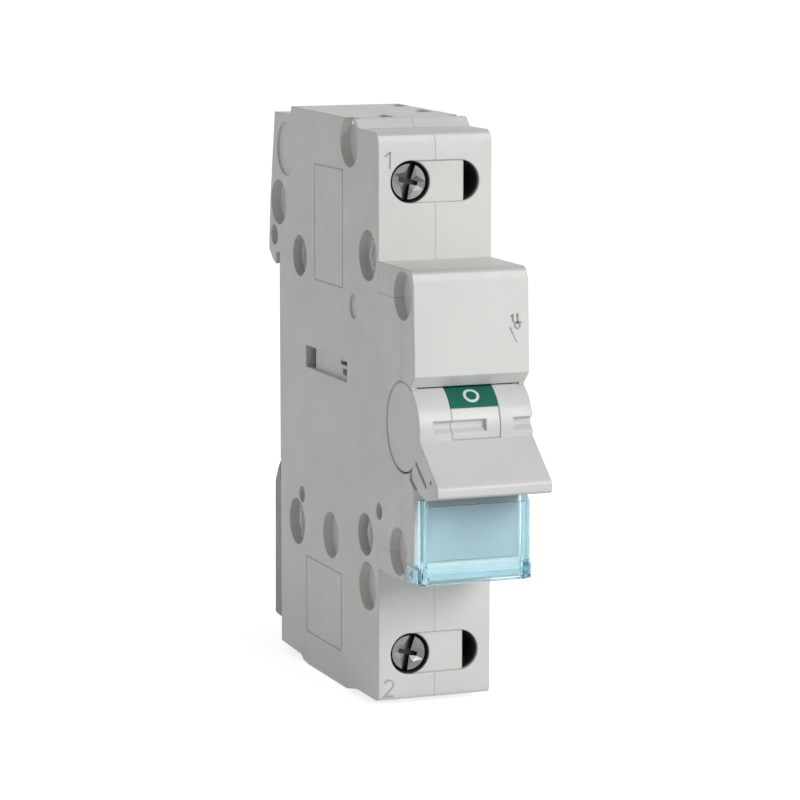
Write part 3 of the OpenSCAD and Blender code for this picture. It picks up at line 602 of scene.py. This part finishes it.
def make_screw(side, z):
    tilt = math.radians(SLOT_TILT)

    def place(u, v, depth):
        x = SCREW_X + u * math.cos(tilt) - v * math.sin(tilt)
        return x, HEAD_FRONT + depth, z + u * math.sin(tilt) + v * math.cos(tilt)

    bm = bmesh.new()
    half_head(bm, place, 1)
    half_head(bm, place, -1)
    known = len(bm.faces)
    floor_y = HEAD_FRONT + RECESS_DEPTH
    profile = [(0, floor_y), (HEAD_R, floor_y), (HEAD_R, HEAD_FOOT), (SHANK_R, HEAD_FOOT)]
    y = HEAD_FOOT + THREAD_RUNOUT
    while y + THREAD_PITCH < SHANK_END - THREAD_RUNOUT:
        profile += [(SHANK_R, y), (THREAD_R, y + THREAD_PITCH / 2)]
        y += THREAD_PITCH
    profile += [(SHANK_R, y), (THREAD_R, SHANK_END), (0, SHANK_END)]
    lathe(bm, SCREW_X, z, profile)
    bm.faces.ensure_lookup_table()
    # The floor of the slot and cross takes the near-black finish too: painted shade.
    for face in bm.faces[known:]:
        if all(abs(vert.co.y - floor_y * MM) < 1e-7 for vert in face.verts):
            face.material_index = 1
    materials = (MATERIALS["screw"], SCREW_RECESS_SHADE)
    screw = finish_piece(side + "_screw_detail", bm, materials, side + "_screw")
    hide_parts(side + "_terminal_screw")


def make_cheek_seam(name, side):
    bm = bmesh.new()
    section = (
        (SEAM_INNER_R, SEAM_FRONT_X), (SEAM_OUTER_R, SEAM_FRONT_X),
        (SEAM_OUTER_R, SEAM_REAR_X), (SEAM_INNER_R, SEAM_REAR_X),
    )
    count = 72
    loops = []
    for i in range(count):
        turn = math.radians(SEAM_START + (SEAM_END - SEAM_START) * i / (count - 1))
        places = [
            (side * x, PIVOT_Y - r * math.cos(turn), PIVOT_Z + r * math.sin(turn))
            for r, x in section
        ]
        loops.append([bm.verts.new(Vector(place) * MM) for place in places])
    join_loops(bm, loops)
    cap_loops(bm, loops)
    finish_piece(name, bm, (MATERIALS["housing"],), HOUSING)


def make_floor():
    mesh = bpy.data.meshes.new("floor")
    level = cad_low.z - FLOOR_DROP
    corners = [(-1, -1), (1, -1), (1, 1), (-1, 1)]
    places = [(x * FLOOR_REACH, y * FLOOR_REACH, level) for x, y in corners]
    mesh.from_pydata(places, [], [(0, 1, 2, 3)])
    floor = bpy.data.objects.new("floor", mesh)
    SCENE.collection.objects.link(floor)
    s = Shader("floor")
    bsdf = s.add("ShaderNodeBsdfPrincipled", Roughness=0.8)
    tone = s.ramp(s.noise(3, 2.0), (0.84, 0.84, 0.84), (0.88, 0.88, 0.88))
    s.join(tone, bsdf.inputs["Base Color"])
    glow = s.add("ShaderNodeEmission")
    mask = s.add("ShaderNodeMath", operation="MULTIPLY")
    mask.inputs[1].default_value = FLOOR_GLOW
    s.join(seen_directly(s.tree), mask.inputs[0])
    s.join(mask.outputs[0], glow.inputs["Strength"])
    total = s.add("ShaderNodeAddShader")
    s.join(bsdf.outputs[0], total.inputs[0])
    s.join(glow.outputs[0], total.inputs[1])
    s.join(total.outputs[0], s.output.inputs["Surface"])
    mesh.materials.append(s.material)


def make_world():
    """White where it is seen, and dimmer as a light."""
    world = bpy.data.worlds.new("studio")
    world.use_nodes = True
    SCENE.world = world
    tree = world.node_tree
    background = tree.nodes["Background"]
    span = add_node(tree, "ShaderNodeMapRange")
    span.inputs["To Min"].default_value = AMBIENT
    span.inputs["To Max"].default_value = 1.0
    tree.links.new(seen_directly(tree), span.inputs["Value"])
    tree.links.new(span.outputs["Result"], background.inputs["Strength"])
    background.inputs["Color"].default_value = (1, 1, 1, 1)


def area_light(name, place, size, power):
    """Square lamp that faces the middle of the part; its place and size are in metres."""
    data = bpy.data.lights.new(name, "AREA")
    data.size = size
    data.energy = power
    lamp = bpy.data.objects.new(name, data)
    SCENE.collection.objects.link(lamp)
    lamp.location = place
    aim = Vector((0, -0.03, 0)) - Vector(place)
    lamp.rotation_euler = aim.to_track_quat("-Z", "Y").to_euler()


make_camera()
dress_nodes()
make_marks()
# Painted shade in the terminal openings: black sleeves in the screw wells and black cups in the
# half-moon openings.
for terminal, terminal_z in TERMINALS:
    make_well_shade_sleeve(terminal, terminal_z)
    make_slot_shade_sleeve(terminal, terminal_z)
for terminal, terminal_z in TERMINALS:
    make_screw(terminal, terminal_z)
make_cheek_seam("left_cheek_seam", -1)
make_cheek_seam("right_cheek_seam", 1)
make_floor()
make_world()
area_light("key", (0.45, -1.0, 0.5), 0.6, 8.6)
area_light("top", (0.15, -0.1, 1.0), 0.8, 0.4)
area_light("left", (-1.0, 0.3, 0.2), 0.6, 0.9)
SCENE.view_settings.view_transform = "Standard"
